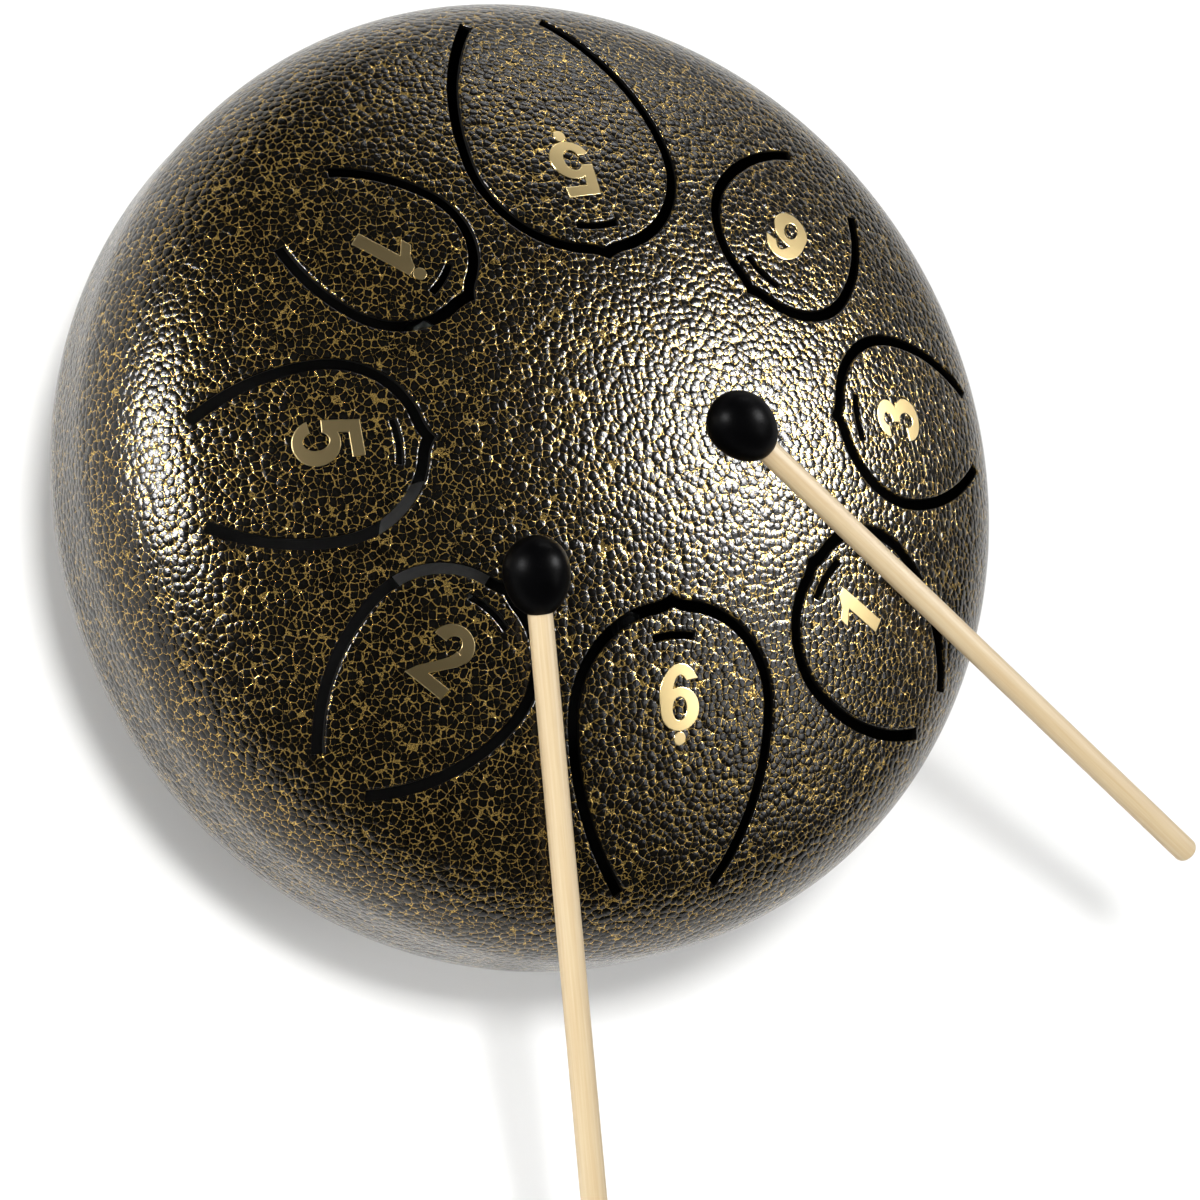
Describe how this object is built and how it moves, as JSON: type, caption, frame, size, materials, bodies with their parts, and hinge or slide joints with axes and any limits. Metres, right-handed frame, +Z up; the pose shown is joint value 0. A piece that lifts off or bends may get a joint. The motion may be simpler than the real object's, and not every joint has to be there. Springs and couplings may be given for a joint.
{
  "type": "steel tongue drum",
  "caption": "Domed steel tongue drum with petal-shaped tongues cut in its crown, foil note numerals, a sound hole below, rubber feet, and rubber-headed wooden mallets resting on it.",
  "frame": {"origin": "on the drum's axis, in the plane that the feet stand on", "axes": "+Z up along the drum's axis, out of the crown; -Y towards the low 6 tongue; +X towards the 3 tongue"},
  "size_m": [0.2985, 0.3478, 0.1589],
  "materials": {
    "hammertone_coat": "glossy black hammertone powder coat with fine gold veins",
    "gold_foil": "thin gold-coloured metal foil stickers",
    "foot_rubber": "matt moulded rubber",
    "mallet_rubber": "satin moulded rubber",
    "zinc_steel": "bright zinc-plated steel",
    "birch": "sanded pale birch, clear sealed"
  },
  "bodies": {
    "drum": {"upper_shell": "hammertone_coat", "lower_shell": "hammertone_coat", "seam_weld": "hammertone_coat", "numeral_low_6": "gold_foil", "numeral_1": "gold_foil", "numeral_3": "gold_foil", "numeral_6": "gold_foil", "numeral_low_5": "gold_foil", "numeral_high_1": "gold_foil", "numeral_5": "gold_foil", "numeral_2": "gold_foil", "foot_1": "foot_rubber", "foot_screw_1": "zinc_steel", "foot_outer_washer_1": "zinc_steel", "foot_inner_washer_1": "zinc_steel", "foot_nut_1": "zinc_steel", "foot_2": "foot_rubber", "foot_screw_2": "zinc_steel", "foot_outer_washer_2": "zinc_steel", "foot_inner_washer_2": "zinc_steel", "foot_nut_2": "zinc_steel", "foot_3": "foot_rubber", "foot_screw_3": "zinc_steel", "foot_outer_washer_3": "zinc_steel", "foot_inner_washer_3": "zinc_steel", "foot_nut_3": "zinc_steel"},
    "mallet_1": {"mallet_1_head": "mallet_rubber", "mallet_1_stick": "birch"},
    "mallet_2": {"mallet_2_head": "mallet_rubber", "mallet_2_stick": "birch"}
  },
  "joints": [
    {"name": "lift_mallet_1", "type": "slide", "parent": "drum", "child": "mallet_1", "axis": [0, 0, 1], "range_m": [0, 0.15]},
    {"name": "lift_mallet_2", "type": "slide", "parent": "drum", "child": "mallet_2", "axis": [0, 0, 1], "range_m": [0, 0.15]}
  ]
}
